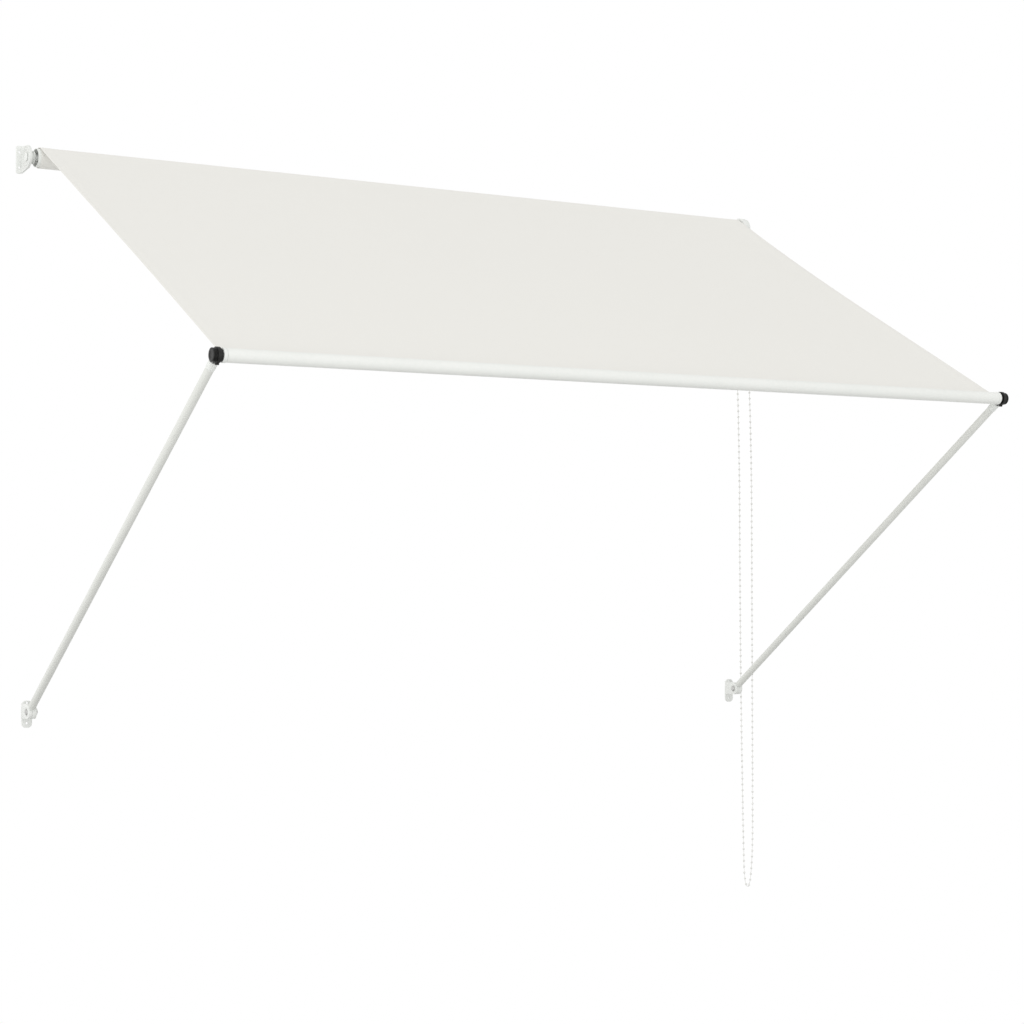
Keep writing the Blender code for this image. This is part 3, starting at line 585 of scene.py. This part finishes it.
def breakEdges(node, width, segments=2, sharp=32):
    # a copy of the solid with its flat faces joined up and its sharp edges rounded
    cage = bmesh.new()
    cage.from_mesh(cadNodes[node].data)
    cage.transform(cadNodes[node].matrix_world)
    bmesh.ops.remove_doubles(cage, verts=cage.verts, dist=0.000004)
    bmesh.ops.dissolve_limit(cage, angle_limit=math.radians(0.6), verts=cage.verts, edges=cage.edges)
    edges = [edge for edge in cage.edges if len(edge.link_faces) == 2
             and math.degrees(edge.calc_face_angle(0)) > sharp]
    bmesh.ops.bevel(cage, geom=edges, offset=width, offset_type="OFFSET", segments=segments, profile=0.5,
                    affect="EDGES", clamp_overlap=True, harden_normals=False)
    return settle(linkMesh(node + "_fine", cage, 38), node)


rollerShape = {
    "tube": 0.0160, "wall": 0.0012, "end": 0.0005, "bore": 0.0053, "body": 0.0145, "waist": 0.0115,
    "recess": 0.008, "plugLength": 0.022, "collar": 0.003, "shaft": 0.005, "flange": 0.002, "gap": 0.0003,
    "cheekOut": {"left": 0.0155, "right": 0.0170}, "cheek": 0.0038,
}
pinShape = {
    "radius": 0.005, "head": 0.0075, "headLong": 0.0014, "flange": 0.0115, "flangeFrom": 0.0033,
    "flangeTo": 0.0048, "reach": 0.0205,
}


def makeRoller(shape):
    low, high = Vector((shape["end"], *rollerAxis.yz)), Vector((span - shape["end"], *rollerAxis.yz))
    tube, inner, body, gap = shape["tube"], shape["tube"] - shape["wall"], shape["body"], shape["gap"]
    turnAgain("roller_tube", [(0, inner), (0, tube), (high.x - low.x, tube), (high.x - low.x, inner)], low,
              (1, 0, 0), 0.0003, 112)
    near, far, step = shape["recess"], shape["plugLength"], shape["collar"]
    bore, waist = shape["bore"], shape["waist"]
    turnAgain("idle_plug", [(near, bore), (near, body), (near + step, body), (near + step, waist),
                            (far - step, waist), (far - step, body), (far, body), (far, bore)],
              low, (1, 0, 0), 0.0005, 72)
    shaftEnd = shape["end"] + shape["cheekOut"]["right"] + gap
    turnAgain("drive_plug", [(-far, 0), (-far, body), (gap, body), (gap, tube), (gap + shape["flange"], tube),
                             (gap + shape["flange"], shape["shaft"]), (shaftEnd, shape["shaft"]),
                             (shaftEnd, 0)],
              high, (1, 0, 0), 0.0004, 96)


def makeIdlePin(shape, pin):
    # runs through the left cheek into the roller's plug
    outer = shape["cheekOut"]["left"] + shape["gap"]
    inside = shape["cheekOut"]["left"] - shape["cheek"] - shape["gap"]
    r, head, flange, top = pin["radius"], pin["head"], pin["flange"], outer + pin["headLong"]
    near, far, tip = pin["flangeFrom"], pin["flangeTo"], -pin["reach"]
    turnAgain("idle_pin", [(top, 0), (top, head), (outer, head), (outer, r), (inside, r), (inside, head),
                           (far, head), (far, flange), (near, flange), (near, r), (tip, r), (tip, 0)],
              Vector((0, *rollerAxis.yz)), (-1, 0, 0), 0.0004, 72)


makeRoller(rollerShape)
makeIdlePin(rollerShape, pinShape)
for node, width in (("roller_bracket_left", 0.0003), ("roller_bracket_right", 0.0003),
                    ("chain_guard", 0.0002), ("chain_wheel", 0.0003)):
    breakEdges(node, width)
print("roller pieces done")

armShape = {
    "length": 0.9447, "radius": 0.0066, "wall": 0.0009, "start": 0.017, "tubeTop": 0.029, "plug": 0.0054,
    "sleeve": 0.0073, "sleeveTop": 0.0130, "ribs": 4, "groove": 0.0009, "bore": 0.0040, "sleevePlug": 0.020,
}
boltShape = {
    "headAt": -0.0048, "headLong": 0.0025, "rim": 0.0012, "head": 0.0055, "crown": 0.0035, "shank": 0.003,
    "tip": 0.0139,
}


def makeArm(side, shape):
    base, head = armPivot[side], armHead[side]
    r, inner = shape["radius"], shape["radius"] - shape["wall"]
    end = shape["length"] - shape["tubeTop"]
    start = shape["start"]
    tube = turnAgain("arm_tube_" + side, [(start, inner), (start, r), (end, r), (end, inner)], base, armDir,
                     0.0003, 64)
    # the darker copy of the white paint on the arm tube is painted shade
    tube.data.materials[0] = armShadedPaint
    sleeve, top, last = shape["sleeve"], shape["sleeveTop"], shape["tubeTop"] - 0.0003
    profile = [(top, shape["bore"]), (top, sleeve - 0.0007)]
    pitch = (last - top - 0.0012) / shape["ribs"]
    for k in range(shape["ribs"]):
        first = top + 0.0006 + k * pitch
        profile += [(first, sleeve), (first + pitch * 0.5, sleeve),
                    (first + pitch * 0.62, sleeve - shape["groove"]),
                    (first + pitch * 0.9, sleeve - shape["groove"])]
    profile += [(last - 0.0006, sleeve), (last, sleeve - 0.0004), (last, shape["plug"]),
                (last + shape["sleevePlug"], shape["plug"]), (last + shape["sleevePlug"], shape["bore"])]
    turnAgain("arm_sleeve_" + side, profile, head, -armDir, 0.0002, 64)
    breakEdges("arm_foot_" + side, 0.0004)
    breakEdges("arm_eye_" + side, 0.0005, 3)
    breakEdges("arm_bracket_" + side, 0.0004)
    breakEdges("pivot_nut_" + side, 0.0003)


def makePivotBolt(side, shape):
    under, head, shank, tip = shape["headAt"], shape["head"], shape["shank"], shape["tip"]
    top = under - shape["headLong"]
    turnAgain("pivot_bolt_" + side, [(top, 0), (top, shape["crown"]), (under - shape["rim"], head),
                                     (under, head), (under, shank), (tip, shank), (tip, 0)],
              armPivot[side], (1, 0, 0), 0.0006, 48)


barShape = {
    "radius": 0.0105, "wall": 0.0011, "end": 0.0128, "slot": 0.0016, "pocket": 0.0019, "pocketWall": 0.0009,
    "cap": 0.0110, "eye": 0.0056, "collar": 0.0095, "collarLong": 0.0034, "pivot": 0.0030,
    "knob": 0.0103, "knobLong": 0.0064, "grooves": 3, "groove": 0.0007, "gap": 0.0003, "plugLong": 0.004,
    "knobRim": 0.0014, "dishDeep": 0.0005, "knobWall": 0.0016,
}


def makeBarEnd(side, shape, turn):
    head, way, gap = armHead[side], (outward[side], 0, 0), shape["gap"]
    half, bore = shape["eye"] / 2, shape["pivot"] + gap
    collarIn = half + gap + shape["collarLong"]
    start, cap, inside = collarIn + gap, shape["cap"], shape["radius"] - shape["wall"] - gap
    plugEnd = shape["end"] - gap + shape["plugLong"]
    # the plug has a notch where the bar's pocket passes
    cage, notch = bmesh.new(), bmesh.new()
    seat = gap - shape["end"]
    addLathe(cage, softened([(-start, bore), (-start, cap), (seat, cap), (seat, inside + gap), (seat, inside),
                             (seat - gap, inside), (-plugEnd, inside), (-plugEnd, bore)], 0.0009),
             head, way, 96)
    wide = shape["pocket"] + shape["pocketWall"] + gap
    middle = shape["radius"] - shape["wall"] - shape["pocket"]
    mouth = seat - 0.0001
    addLathe(notch, [(-plugEnd - 0.001, 0), (-plugEnd - 0.001, wide), (mouth, wide), (mouth, 0)],
             head + Vector((0, math.cos(turn), math.sin(turn))) * middle, way, 48)
    capPiece = linkMesh(f"bar_cap_{side}_fine", cage, 40)
    carve(capPiece, linkMesh("capNotch", notch, 40))
    settle(capPiece, "bar_cap_" + side)
    collar = shape["collar"]
    turnAgain("pivot_collar_" + side, [(-collarIn, bore), (-collarIn, collar), (-half - gap, collar),
                                       (-half - gap, bore)], head, way, 0.0006, 72)
    near, far, r = half + gap, half + gap + shape["knobLong"], shape["knob"]
    profile = [(near, bore), (near, r)]
    pitch = (shape["knobLong"] - 0.0012) / (shape["grooves"] + 0.5)
    for k in range(shape["grooves"]):
        first = near + pitch * (k + 0.5)
        profile += [(first, r), (first + pitch * 0.2, r - shape["groove"]),
                    (first + pitch * 0.5, r - shape["groove"]), (first + pitch * 0.7, r)]
    dish, wall = far - shape["dishDeep"], far - shape["knobWall"]
    profile += [(far - 0.0004, r), (far, r - shape["knobRim"]), (far, r * 0.55), (dish, r * 0.5), (dish, 0),
                (wall, 0), (wall, bore)]
    cage = bmesh.new()
    addLathe(cage, softened(profile, 0.00035), head, way, 96)
    settle(linkMesh(f"pivot_knob_{side}_fine", cage, 45), "pivot_knob_" + side)


def arcPoints(middle, radius, start, end, count):
    return [(middle + radius * math.cos(math.radians(start + (end - start) * k / count)),
             radius * math.sin(math.radians(start + (end - start) * k / count))) for k in range(count + 1)]


def makeBarTube(shape, turn):
    # keyhole section: the slot faces the canvas and opens into a round pocket for the rod
    half, pocket = shape["slot"] / 2, shape["pocket"]
    middle = shape["radius"] - shape["wall"] - pocket
    mouth, throat = (math.degrees(math.asin(half / value)) for value in (shape["radius"], pocket))
    outline = arcPoints(0, shape["radius"], mouth + 1.2, 358.8 - mouth, 90)
    outline += [(shape["radius"] * 0.985, -half), *arcPoints(middle, pocket, -throat, throat - 360, 20),
                (shape["radius"] * 0.985, half)]
    inside, wall = shape["radius"] - shape["wall"], pocket + shape["pocketWall"]
    meet = (inside ** 2 - wall ** 2 + middle ** 2) / (2 * middle)
    rise = math.sqrt(inside ** 2 - meet ** 2)
    start, bite = math.degrees(math.atan2(rise, meet)), math.degrees(math.atan2(rise, meet - middle))
    hollow = arcPoints(0, inside, start, 360 - start, 60)
    hollow += arcPoints(middle, wall, 360 - bite, bite, 16)[1:-1]
    cage = bmesh.new()
    rims = []
    for x in (shape["end"], span - shape["end"]):
        for loop in (outline, hollow):
            ring = []
            for u, v in loop:
                y = barAxis.y + u * math.cos(turn) - v * math.sin(turn)
                z = barAxis.z + u * math.sin(turn) + v * math.cos(turn)
                ring.append(cage.verts.new((x, y, z)))
            rims.append(ring)
    for near, far in ((rims[0], rims[2]), (rims[1], rims[3])):
        for k in range(len(near)):
            n = (k + 1) % len(near)
            cage.faces.new((near[k], near[n], far[n], far[k]))
    for pair in (rims[:2], rims[2:]):
        edges = [cage.edges.get((ring[k], ring[(k + 1) % len(ring)]))
                 for ring in pair for k in range(len(ring))]
        bmesh.ops.triangle_fill(cage, edges=edges, use_beauty=True)
    settle(linkMesh("front_bar_tube_fine", cage, 40), "front_bar_tube")


for side in ("left", "right"):
    makeArm(side, armShape)
    makePivotBolt(side, boltShape)
print("arms done")

# canvas: taut from the bar's slot to the top of the roll, with hems down both sides
canvasFacts = {
    "width": span - 0.0080,
    # left and right edge, inboard of the arm planes: at the bar, at the roller, drawn in between, and where
    "leftEdge": (0.0080, 0.0060, 0.0022, 1.0),
    "rightEdge": (0.0060, 0.0020, 0.0125, 1.5),
    "sag": 0.0005,
    "cloth": 0.0005,
    "hemCloth": 0.0010,
    "hemWidth": 0.020,
    "ripple": 0.0011,
    "rollRadius": 0.0178,
    "lap": math.radians(24),
    "barClear": 0.0116,
    "slotDepth": 0.0087,
    "slotInset": 0.0140,
}


def canvasGeometry(facts):
    reach = rollerAxis - Vector((rollerAxis.x, barAxis.y, barAxis.z))
    reach.x = 0
    run = math.sqrt(reach.length ** 2 - facts["rollRadius"] ** 2)
    angle = math.atan2(reach.z, reach.y) + math.asin(facts["rollRadius"] / reach.length)
    along = Vector((0, math.cos(angle), math.sin(angle)))
    up = Vector((0, -math.sin(angle), math.cos(angle)))
    return reach, run, angle, along, up


canvasReach, canvasRun, canvasAngle, canvasAlong, canvasUp = canvasGeometry(canvasFacts)


def canvasStations(facts, mainRows=96, lapRows=5):
    # (point in the y-z plane, normal, share of the way, distance walked, inside the slot)
    bar = Vector((0, barAxis.y, barAxis.z))
    roll = Vector((0, rollerAxis.y, rollerAxis.z))
    stations = [(bar + canvasAlong * facts["slotDepth"], canvasUp, 0.0, 0.0, True),
                (bar + canvasAlong * (facts["barClear"] - 0.0004), canvasUp, 0.0, 0.003, True)]
    for k in range(mainRows + 1):
        share = k / mainRows
        run = facts["barClear"] + (canvasRun - facts["barClear"]) * share
        sag = facts["sag"] * 4 * share * (1 - share)
        slope = facts["sag"] * 4 * (1 - 2 * share) / (canvasRun - facts["barClear"])
        normal = (canvasUp + canvasAlong * slope).normalized()
        stations.append((bar + canvasAlong * run - canvasUp * sag, normal, share, run, False))
    for k in range(1, lapRows + 1):
        turn = canvasAngle + math.pi / 2 - facts["lap"] * k / lapRows
        spoke = Vector((0, math.cos(turn), math.sin(turn)))
        stations.append((roll + spoke * facts["rollRadius"], spoke, 1.0,
                         canvasRun + facts["rollRadius"] * facts["lap"] * k / lapRows, False))
    return stations


def canvasAcross(facts, share, offset, inSlot):
    # x of a point that is this far from the cloth's left edge; the hems keep their width
    low, high = (atBar + (atRoll - atBar) * share + bow * 4 * share ** shift * (1 - share ** shift)
                 for atBar, atRoll, bow, shift in (facts["leftEdge"], facts["rightEdge"]))
    high = span - high
    across = (offset - facts["hemWidth"]) / (facts["width"] - 2 * facts["hemWidth"])
    x = low + offset + (high - low - facts["width"]) * min(max(across, 0), 1)
    if inSlot:
        x = min(max(x, facts["slotInset"]), span - facts["slotInset"])
    return x


def canvasRipple(facts, offset, share):
    # slight unevenness of a taut cloth, none where it is held
    held = math.sin(math.pi * min(max(share, 0), 1)) ** 0.8 if 0 < share < 1 else 0
    soft = noise.noise(Vector((offset * 2.2, share * 1.3, 3.1))) * facts["ripple"]
    pulls = math.sin(offset * 21 + share * 5) * 0.00025 * (1 - share)
    return held * (soft + pulls)


def makeCanvas(facts):
    stations = canvasStations(facts)
    hem, width = facts["hemWidth"], facts["width"]
    edge = [0.0, 0.0008, 0.003, 0.008, 0.0135, 0.0178, hem - 0.0010, hem + 0.0020]
    middle = [hem + 0.0020 + (width - 2 * hem - 0.0040) * k / 90 for k in range(1, 90)]
    offsets = edge + middle + [width - value for value in reversed(edge)]
    thick = []
    for offset in offsets:
        near = min(offset, width - offset)
        if near < 0.0005:
            thick.append(facts["hemCloth"] * 0.45)
        elif near < hem:
            thick.append(facts["hemCloth"])
        else:
            thick.append(facts["cloth"])
    cage = bmesh.new()
    place = cage.loops.layers.uv.new("clothPlace")
    top, under = [], []
    for point, normal, share, walked, inSlot in stations:
        upper, lower = [], []
        for offset, depth in zip(offsets, thick):
            x = canvasAcross(facts, share, offset, inSlot)
            lift = canvasRipple(facts, offset, share) if not inSlot else 0
            base = Vector((x, point.y, point.z)) + normal * lift
            if inSlot:
                depth = facts["hemCloth"]
            upper.append(cage.verts.new(base + normal * depth / 2))
            lower.append(cage.verts.new(base - normal * depth / 2))
        top.append(upper)
        under.append(lower)
    rows, columns = len(stations), len(offsets)

    def face(corners, marks):
        made = cage.faces.new(corners)
        for loop, (r, c) in zip(made.loops, marks):
            loop[place].uv = (offsets[c], stations[r][3])

    for r in range(rows - 1):
        for c in range(columns - 1):
            marks = ((r, c), (r, c + 1), (r + 1, c + 1), (r + 1, c))
            face([top[a][b] for a, b in marks], marks)
            face([under[a][b] for a, b in reversed(marks)], list(reversed(marks)))
    for r in range(rows - 1):
        for c in (0, columns - 1):
            marks = ((r, c), (r + 1, c))
            corners = [top[r][c], top[r + 1][c], under[r + 1][c], under[r][c]]
            face(corners, marks + tuple(reversed(marks)))
    for c in range(columns - 1):
        for r in (0, rows - 1):
            marks = ((r, c), (r, c + 1))
            face([top[r][c], top[r][c + 1], under[r][c + 1], under[r][c]], marks + tuple(reversed(marks)))
    canvas = linkMesh("canvasSheet", cage, 60)
    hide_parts("canvas")
    paint(canvas, "canvas")
    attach(canvas, "front_bar")
    return canvas


def makeStitches(facts):
    # two rows of lockstitch down each hem, on both faces
    stitch = {"length": 0.0024, "pitch": 0.0034, "radius": 0.00016, "rows": (0.0165, 0.0035)}
    half, r = stitch["length"] / 2, stitch["radius"]
    cage = bmesh.new()
    bar = Vector((0, barAxis.y, barAxis.z))
    total = canvasRun - facts["barClear"]
    count = int(total / stitch["pitch"])
    for k in range(2, count - 1):
        share = (k + 0.5) / count
        run = facts["barClear"] + total * share
        sag = facts["sag"] * 4 * share * (1 - share)
        for row in stitch["rows"]:
            for offset in (row, facts["width"] - row):
                x = canvasAcross(facts, share, offset, False)
                centre = bar + canvasAlong * run - canvasUp * sag
                lift = canvasRipple(facts, offset, share)
                for face in (1, -1):
                    at = Vector((x, centre.y, centre.z)) + canvasUp * (lift + face * facts["hemCloth"] / 2)
                    addLathe(cage, [(-half, 0), (-half * 0.6, r), (half * 0.6, r), (half, 0)], at,
                             canvasAlong, 5)
    threads = linkMesh("hemStitches", cage, 80)
    paint(threads, "canvas")
    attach(threads, "front_bar")
    return threads


def makeRoll(facts):
    # the turns of cloth that stay on the tube, as one spiral that goes on from the sheet
    shape = {"turns": 1.8, "pitch": 0.00080, "cloth": 0.00045, "steps": 60, "seam": 0.004}
    cage = bmesh.new()
    place = cage.loops.layers.uv.new("clothPlace")
    count = int(shape["turns"] * shape["steps"])
    ends = (facts["leftEdge"][1], span - facts["rightEdge"][1])
    slices = []
    outermost = facts["rollRadius"] - shape["cloth"] / 2
    leave = canvasAngle + math.pi / 2 - facts["lap"] - shape["seam"]
    centre = Vector((0, rollerAxis.y, rollerAxis.z))
    for k in range(count + 1):
        angle = leave - tau * (count - k) / shape["steps"]
        base = outermost - shape["pitch"] * (count - k) / shape["steps"]
        spoke = Vector((0, math.cos(angle), math.sin(angle)))
        corners = []
        for x in ends:
            for radius in (base, base + shape["cloth"]):
                corners.append(cage.verts.new(centre + spoke * radius + Vector((x, 0, 0))))
        slices.append(corners)
    walked = tau * outermost / shape["steps"]
    for k in range(count):
        a, b = slices[k], slices[k + 1]
        for i, j in ((0, 2), (2, 3), (3, 1), (1, 0)):
            made = cage.faces.new((a[i], a[j], b[j], b[i]))
            marks = ((i, k), (j, k), (j, k + 1), (i, k + 1))
            for loop, (corner, step) in zip(made.loops, marks):
                loop[place].uv = (ends[corner // 2], walked * step + corner % 2 * shape["cloth"])
    for end in (slices[0], slices[-1]):
        cage.faces.new((end[0], end[2], end[3], end[1]))
    roll = linkMesh("canvasTurns", cage, 40)
    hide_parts("canvas_roll")
    paint(roll, "canvas")
    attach(roll, "roller")
    return roll


makeBarTube(barShape, canvasAngle)
for side in ("left", "right"):
    makeBarEnd(side, barShape, canvasAngle)
print("bar and its ends done")
canvasSheet = makeCanvas(canvasFacts)
hemStitches = makeStitches(canvasFacts)
canvasTurns = makeRoll(canvasFacts)
for piece in (canvasSheet, hemStitches):
    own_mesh(piece)


# studio: pale floor, soft lamps, white behind
studio = {
    "floorLevel": -1.5,
    "floorSize": 5.0,
    "fillLevel": 0.97,
    "fillSide": 0.20,
    "lamps": [
        {"name": "keyLamp", "place": (-1.6, -3.4, 3.6), "aim": (0.75, -0.4, 0.5), "size": 2.4, "watts": 10},
        {"name": "frontLamp", "place": (2.6, -4.4, 2.2), "aim": (0.75, -0.4, 0.4), "size": 2.5, "watts": 3},
        {"name": "lowLamp", "place": (-1.6, -4.4, -0.5), "aim": (0.75, -0.4, 0.5), "size": 2.0, "watts": 26},
    ],
    "fillColour": (1.0, 0.997, 0.988, 1),
    "floorColour": (0.51, 0.51, 0.505, 1),
    "floorShade": (0.48, 0.48, 0.475, 1),
}


def makeStudio(setup):
    world = bpy.data.worlds.new("studioWorld")
    bpy.context.scene.world = world
    world.use_nodes = True
    tree = world.node_tree
    tree.nodes.clear()
    rays = tree.nodes.new("ShaderNodeLightPath")
    plain, white = tree.nodes.new("ShaderNodeBackground"), tree.nodes.new("ShaderNodeBackground")
    plain.inputs["Color"].default_value = setup["fillColour"]
    # a little more of the fill comes from the left
    way, parts = tree.nodes.new("ShaderNodeTexCoord"), tree.nodes.new("ShaderNodeSeparateXYZ")
    wire(tree, (way.outputs["Generated"], parts.inputs[0]))
    side = mathNode(tree, "MULTIPLY", parts.outputs["X"], -setup["fillSide"])
    wire(tree, (mathNode(tree, "ADD", side, setup["fillLevel"]), plain.inputs["Strength"]))
    white.inputs["Color"].default_value = (1, 1, 1, 1)
    mix, out = tree.nodes.new("ShaderNodeMixShader"), tree.nodes.new("ShaderNodeOutputWorld")
    seen = mathNode(tree, "MAXIMUM", rays.outputs["Is Camera Ray"], rays.outputs["Is Transmission Ray"])
    wire(tree, (seen, mix.inputs[0]), (plain.outputs[0], mix.inputs[1]), (white.outputs[0], mix.inputs[2]),
         (mix.outputs[0], out.inputs[0]))
    for lamp in setup["lamps"]:
        light = bpy.data.lights.new(lamp["name"], "AREA")
        light.shape = "DISK"
        light.size = lamp["size"]
        light.energy = lamp["watts"]
        holder = bpy.data.objects.new(lamp["name"], light)
        bpy.context.scene.collection.objects.link(holder)
        holder.location = lamp["place"]
        aim = Vector(lamp["aim"]) - Vector(lamp["place"])
        holder.rotation_mode = "QUATERNION"
        holder.rotation_quaternion = aim.to_track_quat("-Z", "Y")

    cage = bmesh.new()
    bmesh.ops.create_grid(cage, x_segments=8, y_segments=8, size=setup["floorSize"] / 2)
    floor = linkMesh("studioFloor", cage)
    floor.location = (span / 2, -0.4, setup["floorLevel"])
    material, tree, shader = newMaterial("floor_look")
    grain = useGroup(tree, grainGroup, Colour=setup["floorColour"], Shade=setup["floorShade"],
                     Grain_Scale=260.0, Patch_Scale=2.0, Amount=0.4, Gloss=0.7, Gloss_Spread=0.1)
    wire(tree, (grain.outputs["Colour"], shader.inputs["Base Color"]),
         (grain.outputs["Roughness"], shader.inputs["Roughness"]))
    floor.data.materials.append(material)


makeStudio(studio)
view = bpy.context.scene.view_settings
view.view_transform = "Standard"
view.look = "None"
view.exposure = 0
view.gamma = 1
print("studio ready")
